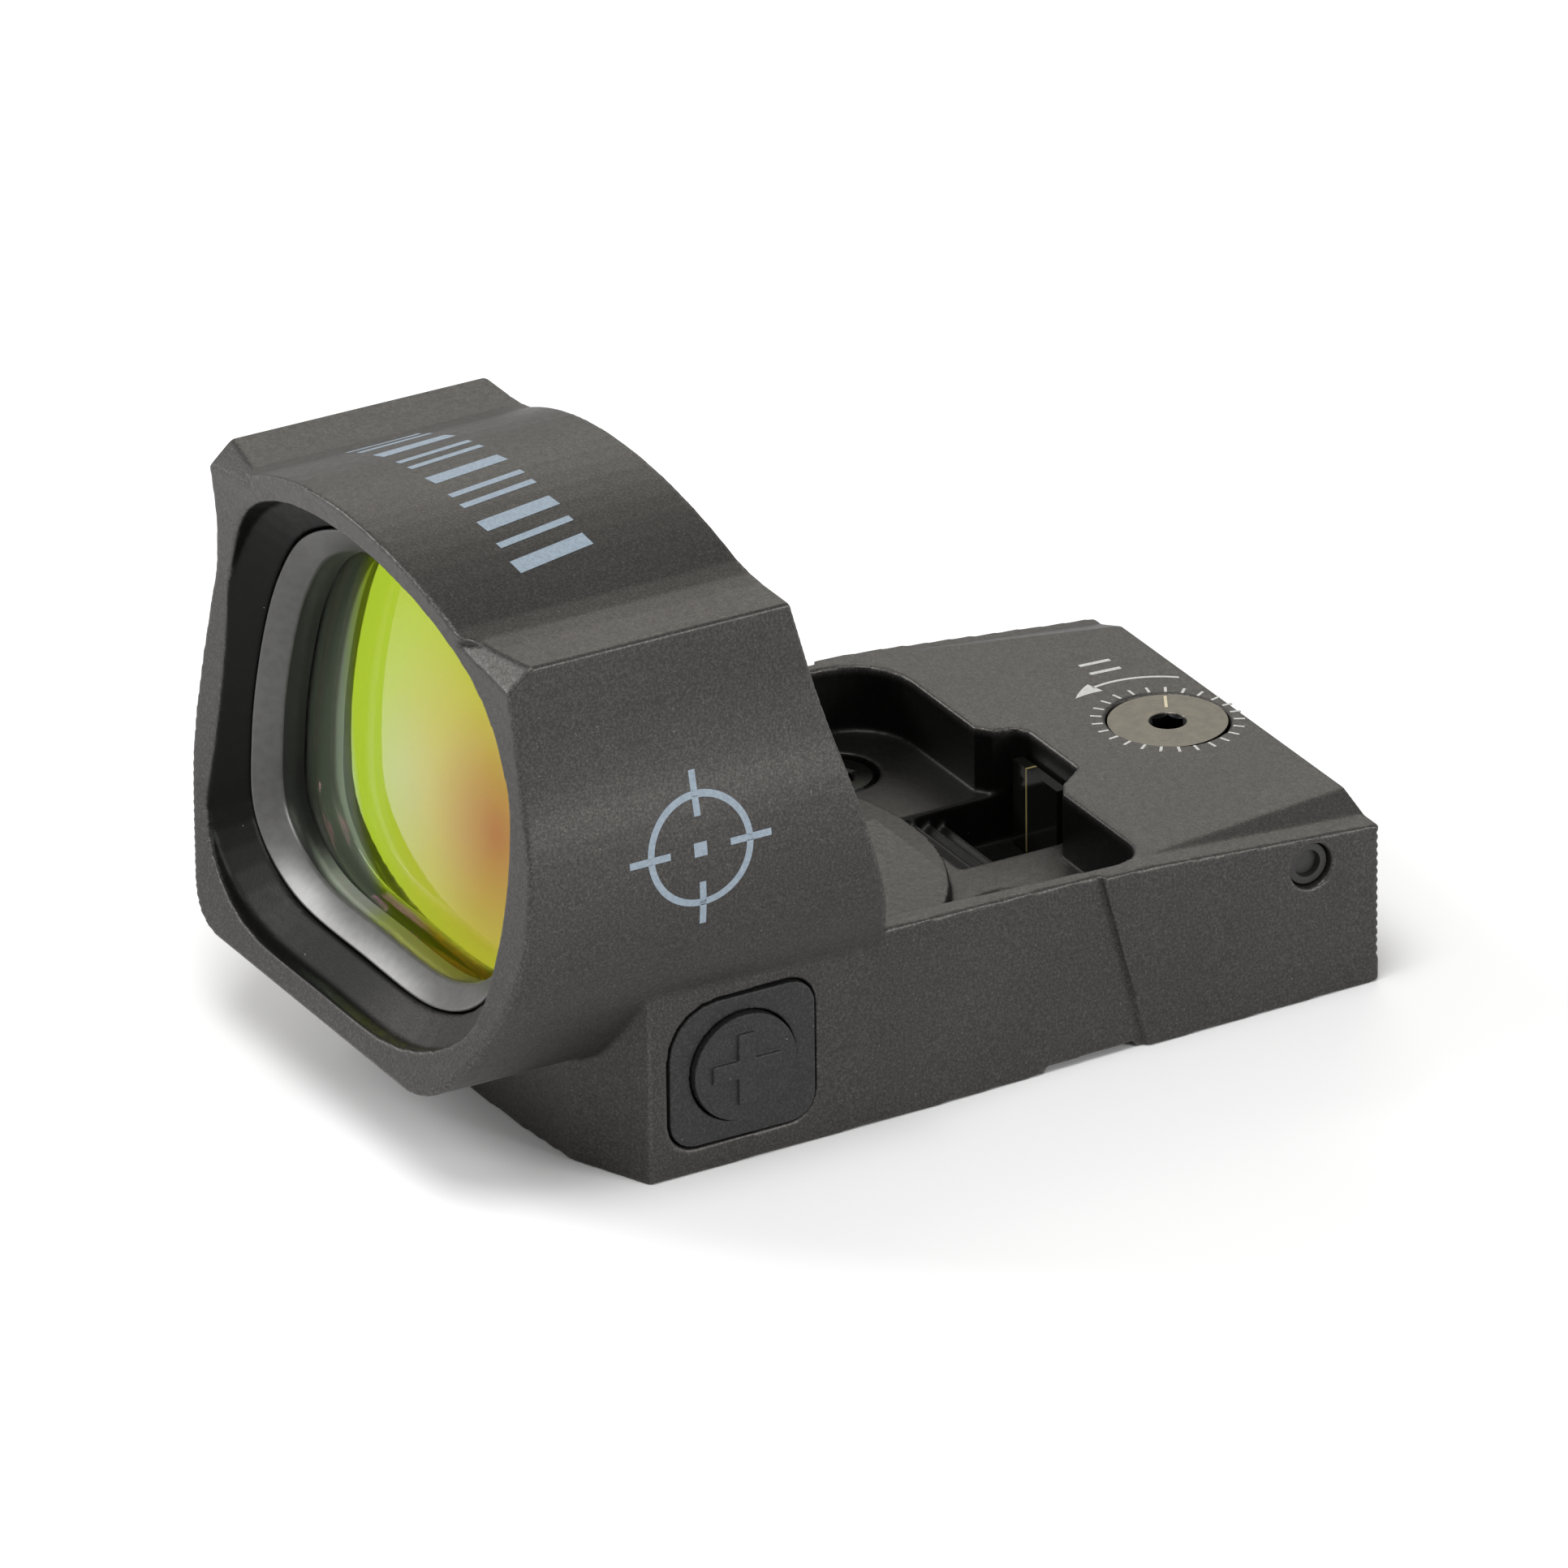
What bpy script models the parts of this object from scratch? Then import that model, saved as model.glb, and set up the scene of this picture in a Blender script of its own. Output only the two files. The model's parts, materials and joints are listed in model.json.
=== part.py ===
"""Open reflex red dot sight: one-piece housing, doublet lens, emitter carriage, screws and buttons.

Units are metres with +Z up. +Y points to the rear of the sight, -Y is the end the hood opens to,
and +X is the side of the plus button. The origin is the centre of the bounding box's bottom face.
"""
import math

import bmesh
import bpy
from mathutils import Matrix, Vector

MM = 0.001
GAP = 0.1            # clearance between pieces that touch or run in each other, mm

# ---- driving dimensions, mm -------------------------------------------------------------
LENGTH = 44.4
REAR_Y = LENGTH / 2
HOOD_SOLE_Z = 4.65          # underside of the hood in front of the base
FACE_RADIUS = 34.6          # hollow curve of the hood's front face, seen from the side
FACE_DEEP_Z = 18.8          # height where that curve lies furthest back
FACE_DEEP_Y = -19.183
ARCH_TOP_Z = 27.0
HORN_Z = 24.8               # flat shelves beside the arch
HORN_X = 12.9
ARCH_HALF = 9.3
BASE_X = 12.9
FAR_INSET = 0.5             # the windage side of the base is this much narrower behind the hood
DECK_REAR_Z = 7.83
DECK_SLOPE = 0.04
LEDGE_REAR_Z = 7.23
RECESS_X = 11.45
RECESS_FAR_X = 11.0
RECESS_REAR_Y = 11.3
RECESS_FLOOR_Z = 5.25
PLATFORM_Z = 6.0            # raised roof of the battery bay
NOTCH_REAR_Y = 13.15
SLOT_FLOOR_Z = 3.0          # light slot in the recess floor, in front of the emitter window
SLOT_FRONT_Y = 9.4

LENS_TILT = math.atan(0.15)  # the lens leans back, so its axis dips towards the emitter
LENS_CENTRE = (0.0, -16.7, 15.0)
MOUTH_Z = 14.6              # height in the mouth outline that lies on the lens axis
LENS_INSET = 1.4            # lens edge inside the mouth outline
LENS_THICK = 3.4
RING_OUT_W = 1.7            # retaining ring, stations in front of the lens
RING_IN_W = 0.75
FLARE_W = 2.9
LENS_SURFACE_R = 60.0
SEAT_INSET = 2.3            # clear aperture behind the lens, inside the mouth outline

BATTERY_Y = -4.0
BATTERY_R = 10.0
BATTERY_THICK = 3.2
BATTERY_Z = 0.75
BAY_R = 10.15
BAY_TOP_Z = 4.3
SEAL_R = 10.36

ELEVATION_Y = 19.0
DISC_R = 2.56
DISC_BORE_R = 2.65
SHAFT_R = 0.8
SHAFT_CLEARANCE = 0.08
THREAD_CLEARANCE = 0.06
SKIRT_Z = 5.8
DETENT_Z = 6.2
PLUG_Y = 18.8
WINDAGE_Y = 17.3
WINDAGE_Z = 3.1

BUTTON_Y = -8.9
BUTTON_Z = 4.43
BUTTON_R = 2.4
PAD_LENGTH = 6.85
PAD_HEIGHT = 6.4
PAD_FACE_X = 12.86
KEY_FACE_X = 13.12
SIGN_LIFT = 0.15
MOUNT_SCREW_X = 7.6
MOUNT_SCREW_Y = 7.1
PLATE_THICK = 0.5
PLATE_SCREWS = ((9.6, -12.4), (-9.6, -12.4), (9.3, 10.6), (-9.3, 10.6))

CAVITY_X = 9.8              # electronics bay in the rear of the base
CAVITY_FRONT_Y = 13.6
CAVITY_REAR_Y = 21.3
CAVITY_ROOF_Z = 4.8
LED_Z = 5.4

# ---- scene set-up -----------------------------------------------------------------------
for old in list(bpy.data.objects):
    bpy.data.objects.remove(old, do_unlink=True)

PARTS = bpy.data.collections.new("red_dot_sight")
CUTTERS = bpy.data.collections.new("cutters")
bpy.context.scene.collection.children.link(PARTS)
bpy.context.scene.collection.children.link(CUTTERS)


def make_material(name, colour, roughness, metallic=0.0, transmission=0.0):
    material = bpy.data.materials.new(name)
    material.use_nodes = True
    shader = material.node_tree.nodes["Principled BSDF"]
    shader.inputs["Base Color"].default_value = (*colour, 1.0)
    shader.inputs["Roughness"].default_value = roughness
    shader.inputs["Metallic"].default_value = metallic
    shader.inputs["Transmission Weight"].default_value = transmission
    return material


ANODISED = make_material("anodised", (0.070, 0.062, 0.055), 0.55, 0.4)
RUBBER = make_material("rubber", (0.040, 0.039, 0.040), 0.7)
NICKEL = make_material("nickel", (0.30, 0.27, 0.23), 0.4, 0.8)
STEEL = make_material("steel", (0.45, 0.45, 0.46), 0.3, 1.0)
BRASS = make_material("brass", (0.55, 0.40, 0.16), 0.35, 1.0)
GLASS = make_material("glass", (0.62, 0.80, 0.30), 0.03, 0.0, 0.8)
BOARD = make_material("board", (0.02, 0.09, 0.05), 0.5)
BLACK = make_material("black_plastic", (0.02, 0.02, 0.02), 0.5)
RED_DIE = make_material("red_die", (0.6, 0.03, 0.02), 0.3)


# ---- shape helpers ----------------------------------------------------------------------
def mesh_object(name, bm, material=None):
    """Turn a bmesh in millimetres into an object in the parts or the cutters collection."""
    bmesh.ops.recalc_face_normals(bm, faces=bm.faces)
    bmesh.ops.transform(bm, matrix=Matrix.Scale(MM, 4), verts=bm.verts)
    mesh = bpy.data.meshes.new(name)
    bm.to_mesh(mesh)
    bm.free()
    obj = bpy.data.objects.new(name, mesh)
    if material is None:
        CUTTERS.objects.link(obj)
        obj.hide_render = True
        obj.display_type = 'WIRE'
    else:
        PARTS.objects.link(obj)
        mesh.materials.append(material)
        mesh.shade_smooth()
        mesh.set_sharp_from_angle(angle=math.radians(30))
    return obj


def box(name, low, high, material=None):
    """Axis-aligned box between two corners."""
    bm = bmesh.new()
    bmesh.ops.create_cube(bm, size=1.0)
    size = [b - a for a, b in zip(low, high)]
    centre = [(a + b) / 2 for a, b in zip(low, high)]
    bmesh.ops.transform(bm, matrix=Matrix.Diagonal((*size, 1.0)), verts=bm.verts)
    bmesh.ops.translate(bm, vec=centre, verts=bm.verts)
    return mesh_object(name, bm, material)


AXES = {
    "Z": Matrix.Identity(4),
    "X": Matrix(((0, 0, 1, 0), (1, 0, 0, 0), (0, 1, 0, 0), (0, 0, 0, 1))),
    "Y": Matrix(((1, 0, 0, 0), (0, 0, -1, 0), (0, 1, 0, 0), (0, 0, 0, 1))),
}


def drum(name, axis, centre, radius, low, high, material=None, sides=48, tip_radius=None):
    """Cylinder (or cone, with tip_radius at the high end) along an axis between two stations."""
    bm = bmesh.new()
    top = radius if tip_radius is None else tip_radius
    bmesh.ops.create_cone(bm, cap_ends=True, segments=sides, radius1=radius, radius2=top,
                          depth=high - low)
    bmesh.ops.translate(bm, vec=(0, 0, (low + high) / 2), verts=bm.verts)
    if axis == "Y":
        bmesh.ops.rotate(bm, matrix=Matrix.Rotation(-math.pi / 2, 3, 'X'), verts=bm.verts)
        offset = (centre[0], 0, centre[1])
    elif axis == "X":
        bmesh.ops.rotate(bm, matrix=Matrix.Rotation(math.pi / 2, 3, 'Y'), verts=bm.verts)
        offset = (0, centre[0], centre[1])
    else:
        offset = (centre[0], centre[1], 0)
    bmesh.ops.translate(bm, vec=offset, verts=bm.verts)
    return mesh_object(name, bm, material)


def prism(name, axis, outline, low, high, material=None):
    """Flat outline extruded along an axis: (x, z) for Y, (y, z) for X, (x, y) for Z."""
    curve = bpy.data.curves.new(name, 'CURVE')
    curve.dimensions = '2D'
    curve.fill_mode = 'BOTH'
    curve.extrude = (high - low) / 2
    spline = curve.splines.new('POLY')
    spline.points.add(len(outline) - 1)
    for point, (u, v) in zip(spline.points, outline):
        point.co = (u, v, 0.0, 1.0)
    spline.use_cyclic_u = True
    holder = bpy.data.objects.new(name, curve)
    CUTTERS.objects.link(holder)
    graph = bpy.context.evaluated_depsgraph_get()
    filled = bpy.data.meshes.new_from_object(holder.evaluated_get(graph))
    bpy.data.objects.remove(holder, do_unlink=True)
    bpy.data.curves.remove(curve)
    bm = bmesh.new()
    bm.from_mesh(filled)
    bpy.data.meshes.remove(filled)
    bmesh.ops.remove_doubles(bm, verts=bm.verts, dist=1e-4)
    bmesh.ops.dissolve_limit(bm, angle_limit=1e-3, verts=bm.verts, edges=bm.edges)
    middle = (low + high) / 2 * (-1 if axis == "Y" else 1)
    bmesh.ops.translate(bm, vec=(0, 0, middle), verts=bm.verts)
    bmesh.ops.transform(bm, matrix=AXES[axis], verts=bm.verts)
    return mesh_object(name, bm, material)


def hull(name, points, material=None):
    """Convex solid around a few corner points."""
    bm = bmesh.new()
    for point in points:
        bm.verts.new(point)
    made = bmesh.ops.convex_hull(bm, input=bm.verts)
    loose = [v for v in made["geom_interior"] if isinstance(v, bmesh.types.BMVert)]
    bmesh.ops.delete(bm, geom=loose, context='VERTS')
    return mesh_object(name, bm, material)


def ring(name, axis, centre, at, major, minor, material, around=32, section=6):
    """O-ring: a small circle spun about an axis."""
    bm = bmesh.new()
    circle = [(major + minor * math.cos(a), 0, minor * math.sin(a))
              for a in (2 * math.pi * i / section for i in range(section))]
    verts = [bm.verts.new(p) for p in circle]
    edges = [bm.edges.new((verts[i], verts[(i + 1) % section])) for i in range(section)]
    bmesh.ops.spin(bm, geom=verts + edges, axis=(0, 0, 1), cent=(0, 0, 0), steps=around,
                   angle=2 * math.pi, use_merge=True)
    bmesh.ops.remove_doubles(bm, verts=bm.verts, dist=1e-4)
    if axis == "X":
        bmesh.ops.rotate(bm, matrix=Matrix.Rotation(math.pi / 2, 3, 'Y'), verts=bm.verts)
        offset = (at, centre[0], centre[1])
    else:
        offset = (centre[0], centre[1], at)
    bmesh.ops.translate(bm, vec=offset, verts=bm.verts)
    return mesh_object(name, bm, material)


def coil(name, start, end, radius, wire, turns, material):
    """Compression spring between two points: a helix curve with a round bevel."""
    start, end = Vector(start), Vector(end)
    along = end - start
    frame = along.to_track_quat('Z', 'Y').to_matrix()
    per_turn = 8
    count = turns * per_turn + 1
    curve = bpy.data.curves.new(name, 'CURVE')
    curve.dimensions = '3D'
    curve.bevel_depth = wire * MM
    curve.bevel_resolution = 1
    curve.use_fill_caps = True
    spline = curve.splines.new('POLY')
    spline.points.add(count - 1)
    for index, point in enumerate(spline.points):
        angle = 2 * math.pi * index / per_turn
        local = Vector((radius * math.cos(angle), radius * math.sin(angle),
                        along.length * index / (count - 1)))
        point.co = (*((start + frame @ local) * MM), 1.0)
    obj = bpy.data.objects.new(name, curve)
    PARTS.objects.link(obj)
    curve.materials.append(material)
    return obj


def boolean(target, tool, operation='DIFFERENCE'):
    step = target.modifiers.new(operation.lower(), 'BOOLEAN')
    step.operation = operation
    step.object = tool
    if tool.name not in CUTTERS.objects:
        PARTS.objects.unlink(tool)
        CUTTERS.objects.link(tool)
    tool.hide_render = True
    tool.display_type = 'WIRE'


def cut(target, *tools):
    for tool in tools:
        boolean(target, tool)


def bevel(obj, width, segments=2, angle=35):
    step = obj.modifiers.new("bevel", 'BEVEL')
    step.width = width * MM
    step.segments = segments
    step.limit_method = 'ANGLE'
    step.angle_limit = math.radians(angle)
    step.use_clamp_overlap = True
    weld = obj.modifiers.new("weld", 'WELD')
    weld.merge_threshold = 2e-6


def pivot(obj, point):
    """Move an object's origin to a point on its joint axis, given in millimetres."""
    shift = Vector(point) * MM
    obj.data.transform(Matrix.Translation(-shift))
    obj.location = shift


def smooth_loop(points, steps=4):
    """Closed smooth outline through a few points (Catmull-Rom)."""
    count = len(points)
    loop = []
    for i in range(count):
        p0, p1, p2, p3 = (Vector(points[(i + k) % count]) for k in (-1, 0, 1, 2))
        for j in range(steps):
            t = j / steps
            loop.append(0.5 * ((2 * p1) + (p2 - p0) * t + (2 * p0 - 5 * p1 + 4 * p2 - p3) * t * t
                               + (3 * p1 - p0 - 3 * p2 + p3) * t ** 3))
    return [(p.x, p.y) for p in loop]


def inset(loop, distance):
    """Outline drawn in about its middle, so that its width and height lose twice a distance."""
    xs, ys = [p[0] for p in loop], [p[1] for p in loop]
    middle = (min(ys) + max(ys)) / 2
    shrink_x = 1 - 2 * distance / (max(xs) - min(xs))
    shrink_y = 1 - 2 * distance / (max(ys) - min(ys))
    return [(x * shrink_x, middle + (y - middle) * shrink_y) for x, y in loop]


def mirrored(half):
    """Close a right-hand half outline, bottom to top, with its mirror image."""
    left = [(-x, z) for x, z in reversed(half) if x > 1e-6]
    return half + left


def rounded_box_outline(half_u, half_v, radii, centre=(0.0, 0.0), steps=5):
    """Rectangle with rounded corners; radii from the +u +v corner, counter-clockwise."""
    signs = ((1, 1), (-1, 1), (-1, -1), (1, -1))
    loop = []
    for quarter, ((su, sv), radius) in enumerate(zip(signs, radii)):
        cu = centre[0] + su * (half_u - radius)
        cv = centre[1] + sv * (half_v - radius)
        for i in range(steps + 1):
            angle = math.pi / 2 * (quarter + i / steps)
            loop.append((cu + radius * math.cos(angle), cv + radius * math.sin(angle)))
    return loop


# ---- outlines ---------------------------------------------------------------------------
def face_y(z):
    """Front face of the hood in side view: a shallow hollow arc."""
    drop = z - FACE_DEEP_Z
    return FACE_DEEP_Y - FACE_RADIUS + math.sqrt(FACE_RADIUS ** 2 - drop ** 2)


def deck_z(y):
    return DECK_REAR_Z + DECK_SLOPE * (REAR_Y - y)


def quarter_turn(x, y, radius, start, steps=6):
    """Corner arc of the recess outline, counter-clockwise, tangent to both sides at (x, y)."""
    middle = (x - math.copysign(radius, x), y - radius)
    return [(middle[0] + radius * math.cos(start + math.pi / 2 * i / steps),
             middle[1] + radius * math.sin(start + math.pi / 2 * i / steps))
            for i in range(steps + 1)]


def arch_points(count=9):
    """Right half of the arch over the lens, from the horn shelf up to the crown."""
    sag = ARCH_TOP_Z - HORN_Z
    radius = (ARCH_HALF ** 2 + sag ** 2) / (2 * sag)
    points = [(HORN_X, HORN_Z), (ARCH_HALF + 1.3, HORN_Z), (ARCH_HALF + 0.35, HORN_Z + 0.07)]
    for i in range(count):
        x = (ARCH_HALF - 0.6) * (1 - i / (count - 1))
        points.append((x, ARCH_TOP_Z - radius + math.sqrt(radius ** 2 - x ** 2)))
    return points


def hood_outline():
    """Hood seen from the front: flat sole, round lower corners, full cheeks, horns and arch."""
    cheek = [(8.4, HOOD_SOLE_Z), (10.6, 5.45), (12.55, 8.0), (13.8, 10.5), (14.2, 13.3),
             (13.9, 16.3), (13.25, 19.0), (12.92, 21.6)]
    guide = [(0.0, HOOD_SOLE_Z), (6.0, HOOD_SOLE_Z)] + cheek + [(HORN_X, HORN_Z), (0.0, 26.0)]
    smooth = smooth_loop(guide, 4)
    start, stop = 4 * 2, 4 * (len(cheek) + 1) + 1
    half = [(0.0, HOOD_SOLE_Z)] + smooth[start:stop] + arch_points()
    return mirrored(half)


MOUTH_GUIDE = [(0.0, 4.6), (6.8, 4.85), (11.05, 7.05), (12.3, 10.8), (12.4, 15.2), (11.6, 19.2),
               (9.6, 22.2), (5.4, 24.1), (0.0, 24.75)]
MOUTH = smooth_loop(mirrored(MOUTH_GUIDE), 4)


def lens_frame():
    """Lens frame: X across, Y up along the glass, Z along the optical axis to the front."""
    turn = Matrix.Rotation(math.pi / 2 - LENS_TILT, 4, 'X')
    return Matrix.Translation(Vector(LENS_CENTRE)) @ turn


def lens_prism(name, outline, low, high, material=None):
    """Mouth-shaped prism along the lens axis; stations count towards the front."""
    return lens_loft(name, [(outline, low), (outline, high)], material)


def lens_loft(name, sections, material=None, closed=False):
    """Skin through outlines of equal count at stations on the lens axis. A closed one is a ring."""
    bm = bmesh.new()
    loops = [[bm.verts.new((x, z - MOUTH_Z, w)) for x, z in outline] for outline, w in sections]
    pairs = list(zip(loops, loops[1:]))
    if closed:
        pairs.append((loops[-1], loops[0]))
    else:
        bm.faces.new(loops[0])
        bm.faces.new(loops[-1])
    for first, second in pairs:
        for i in range(len(first)):
            j = (i + 1) % len(first)
            bm.faces.new((first[i], first[j], second[j], second[i]))
    bmesh.ops.transform(bm, matrix=lens_frame(), verts=bm.verts)
    return mesh_object(name, bm, material)


# ---- housing ----------------------------------------------------------------------------
def slant_y(z):
    """Slanted step on each side: everything behind it stands proud."""
    return 10.73 - 0.2625 * z


def build_base():
    """Low body: chamfered nose, tapering sides, sloping deck and the proud rear cheeks."""
    nose = [(5.4, -15.35), (9.2, -15.0), (BASE_X, -13.3)]
    plan = [(0.0, -15.5)] + nose + [(12.47, 8.0), (12.0, REAR_Y), (FAR_INSET - 12.0, REAR_Y),
                                    (FAR_INSET - 12.47, 8.0), (-12.74, -5.0)]
    plan += [(-x, y) for x, y in reversed(nose)]
    base = prism("base_body", "Z", plan, 0.0, 10.0)
    side = [(-16.0, 0.0), (REAR_Y, 0.0), (REAR_Y, deck_z(REAR_Y)), (-16.0, deck_z(-16.0))]
    boolean(base, prism("base_side_view", "X", [(y, z if z else -1.0) for y, z in side],
                        -15.0, 15.0), 'INTERSECT')
    for side_sign, shift in ((1, 0.0), (-1, FAR_INSET)):
        waist = [(x, y, z) for z in (-1.5, 11.0)
                 for x, y in ((12.85 - 0.4 * shift, -4.0), (14.0, -4.0),
                              (12.15 - shift, slant_y(z)), (14.0, slant_y(z)))]
        cut(base, hull("waist_cut", [(side_sign * x, y, z) for x, y, z in waist]))
    for side_sign in (1, -1):
        ledge = [(10.78, 22.5, LEDGE_REAR_Z), (5.71, 22.5, 9.0), (11.37, 9.5, 8.41),
                 (14.0, 22.5, LEDGE_REAR_Z), (14.0, 9.5, 8.41), (14.0, 22.5, 10.5),
                 (14.0, 9.5, 10.5), (5.71, 22.5, 10.5)]
        cut(base, hull("ledge_cut", [(side_sign * x, y, z) for x, y, z in ledge]))
    bevel(base, 0.22)
    return base


def build_hood():
    """Hood block: the front outline cut to its side view, with the horns' corners taken off."""
    hood = prism("housing", "Y", hood_outline(), -24.0, 1.0, ANODISED)
    steps = 16
    rise = ARCH_TOP_Z + 1.0 - HOOD_SOLE_Z + 1.0
    front = [(face_y(z), z) for z in (HOOD_SOLE_Z - 1.0 + rise * i / steps
                                      for i in range(steps + 1))]
    rear = [(-7.2, ARCH_TOP_Z + 1.0), (-6.45, HORN_Z), (-5.05, 19.7), (-3.6, 14.5),
            (-2.65, 11.0), (-2.25, 9.0), (-1.9, 7.0), (-1.9, HOOD_SOLE_Z - 1.0)]
    boolean(hood, prism("hood_side_view", "X", front + rear, -16.0, 16.0), 'INTERSECT')
    for side_sign in (1, -1):
        corner = [(12.95, -18.4, 24.85), (9.86, -19.75, 24.2), (13.05, -19.85, 23.5)]
        apex = (15.0, -22.5, 27.5)
        normal = (Vector(corner[1]) - Vector(corner[0])).cross(
            Vector(corner[2]) - Vector(corner[0])).normalized()
        middle = sum((Vector(p) for p in corner), Vector()) / 3
        wide = [middle + 2.2 * (Vector(p) - middle) for p in corner]
        outward = normal if normal.dot(Vector(apex) - middle) > 0 else -normal
        tip = [p + outward * 3.0 for p in wide]
        cut(hood, hull("horn_corner_cut", [(side_sign * p.x, p.y, p.z) for p in wide + tip]))
    bevel(hood, 0.4, 2, 32)
    return hood


def cut_interior(housing):
    """Mouth, lens pocket, clear aperture, recess, battery roof and the emitter's light channel."""
    throat = inset(MOUTH, LENS_INSET - 2 * GAP)
    cut(housing, lens_loft("mouth_cut", [(throat, 0.0), (throat, RING_OUT_W), (MOUTH, FLARE_W),
                                         (MOUTH, 9.0)]))
    pocket = inset(MOUTH, LENS_INSET - GAP)
    cut(housing, lens_prism("lens_pocket", pocket, -LENS_THICK - GAP, 0.5))
    cut(housing, prism("aperture", "Y", inset(MOUTH, SEAT_INSET), -17.0, 0.0))
    rear = RECESS_REAR_Y
    notch = [(4.4, rear), (3.6, rear + 0.45), (2.9, NOTCH_REAR_Y - 0.5), (2.45, NOTCH_REAR_Y),
             (-1.6, NOTCH_REAR_Y), (-2.2, NOTCH_REAR_Y - 0.45), (-2.4, rear + 0.5), (-3.0, rear)]
    plan = [(RECESS_X, -2.2)] + quarter_turn(RECESS_X, rear, 1.7, 0.0) + notch
    plan += quarter_turn(-RECESS_FAR_X, rear, 2.8, math.pi / 2) + [(-RECESS_FAR_X, -2.2)]
    cut(housing, prism("recess", "Z", plan, RECESS_FLOOR_Z, 12.0))
    platform = drum("battery_roof", "Z", (0.0, BATTERY_Y), 10.7, 4.5, PLATFORM_Z, sides=60)
    boolean(housing, platform, 'UNION')
    top = RECESS_FLOOR_Z + 0.15
    slot = [(NOTCH_REAR_Y, SLOT_FLOOR_Z), (NOTCH_REAR_Y, top), (6.9, top)]
    for i in range(3):
        y, z = 7.1 + 0.77 * i, RECESS_FLOOR_Z - 0.05 - 0.22 * i
        slot += [(y, z), (y + 0.3, z - 0.55)]
    slot += [(SLOT_FRONT_Y, 4.6), (SLOT_FRONT_Y, SLOT_FLOOR_Z)]
    cut(housing, prism("light_slot", "X", slot, -2.25, 3.1))


def cut_bottom(housing):
    """Battery bay, electronics bay, cover plate seat and their small passages."""
    plate = rounded_box_outline(10.9, 18.05, (2.0, 2.0, 3.4, 3.4), (0.0, 3.25))
    cut(housing, prism("plate_seat", "Z", plate, -1.0, PLATE_THICK + 0.2))
    cut(housing, drum("battery_bay", "Z", (0.0, BATTERY_Y), BAY_R, -1.0, BAY_TOP_Z, sides=60))
    cut(housing, drum("seal_step", "Z", (0.0, BATTERY_Y), 10.62, -1.0, 1.25, sides=60))
    cut(housing, box("electronics_bay", (-CAVITY_X, CAVITY_FRONT_Y, -1.0),
                     (CAVITY_X, CAVITY_REAR_Y, CAVITY_ROOF_Z)))
    cut(housing, box("emitter_tower", (-3.4, CAVITY_FRONT_Y, 4.0), (3.4, 15.8, 6.95)))
    cut(housing, box("light_port", (-2.2, 12.0, 4.4), (2.2, 14.0, 6.5)))
    cut(housing, box("contact_slot", (-2.2, 4.0, -1.0), (2.2, 6.9, BAY_TOP_Z - 0.1)))
    cut(housing, box("flex_tunnel", (-1.5, 6.0, -1.0), (1.5, 14.0, 1.5)))
    for x, y in PLATE_SCREWS:
        cut(housing, drum("plate_screw_hole", "Z", (x, y), 0.8, -1.0, 2.8, sides=20))


def cut_controls(housing):
    """Screw seats, detent bore, button pockets, mounting screws and the grip lines."""
    cut(housing, drum("elevation_bore", "Z", (0.0, ELEVATION_Y), DISC_BORE_R, SKIRT_Z - GAP, 9.0))
    shaft_hole = SHAFT_R + SHAFT_CLEARANCE
    cut(housing, drum("elevation_hole", "Z", (0.0, ELEVATION_Y), shaft_hole, 4.0, 7.0, sides=24))
    cut(housing, drum("detent_bore", "X", (ELEVATION_Y, DETENT_Z), 0.5, 2.0, 14.0, sides=20))
    cut(housing, drum("plug_bore", "X", (PLUG_Y, DETENT_Z), 1.02, 10.9, 14.0, sides=32))
    cut(housing, drum("windage_bore", "X", (WINDAGE_Y, WINDAGE_Z), 2.1, -14.0, -10.55, sides=36))
    cut(housing, drum("windage_hole", "X", (WINDAGE_Y, WINDAGE_Z), shaft_hole, -12.0, -9.0,
                      sides=24))
    pad = rounded_box_outline(PAD_LENGTH / 2 + GAP, PAD_HEIGHT / 2 + GAP, (1.3, 2.4, 1.3, 1.3),
                              (BUTTON_Y, BUTTON_Z))
    for side_sign in (1, -1):
        stations = sorted((side_sign * 11.9, side_sign * 16.0))
        cut(housing, prism("pad_seat", "X", pad, *stations))
        stations = sorted((side_sign * 10.85, side_sign * 12.5))
        cut(housing, drum("switch_pocket", "X", (BUTTON_Y, BUTTON_Z), 2.6, *stations, sides=36))
        x = side_sign * MOUNT_SCREW_X
        cut(housing, drum("head_well", "Z", (x, MOUNT_SCREW_Y), 1.95, 3.3, 9.0, sides=36))
        cut(housing, drum("screw_hole", "Z", (x, MOUNT_SCREW_Y), 1.35, -1.0, 4.0, sides=24))
        relief = sorted((side_sign * 11.0, side_sign * 15.0))
        cut(housing, box("foot_relief", (relief[0], 5.8, -1.0), (relief[1], 10.2, 0.28)))
    pitch, depth, teeth = 0.4, 0.16, 15
    comb = [(REAR_Y + 1.0, 1.1)]
    for i in range(teeth):
        z = 1.1 + pitch * i
        comb += [(REAR_Y + 0.02, z), (REAR_Y - depth, z + pitch / 2)]
    comb += [(REAR_Y + 0.02, 1.1 + pitch * teeth), (REAR_Y + 1.0, 1.1 + pitch * teeth)]
    cut(housing, prism("grip_lines", "X", comb, -13.0, 13.0))


def build_housing():
    housing = build_hood()
    boolean(housing, build_base(), 'UNION')
    cut_interior(housing)
    cut_bottom(housing)
    cut_controls(housing)


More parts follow.
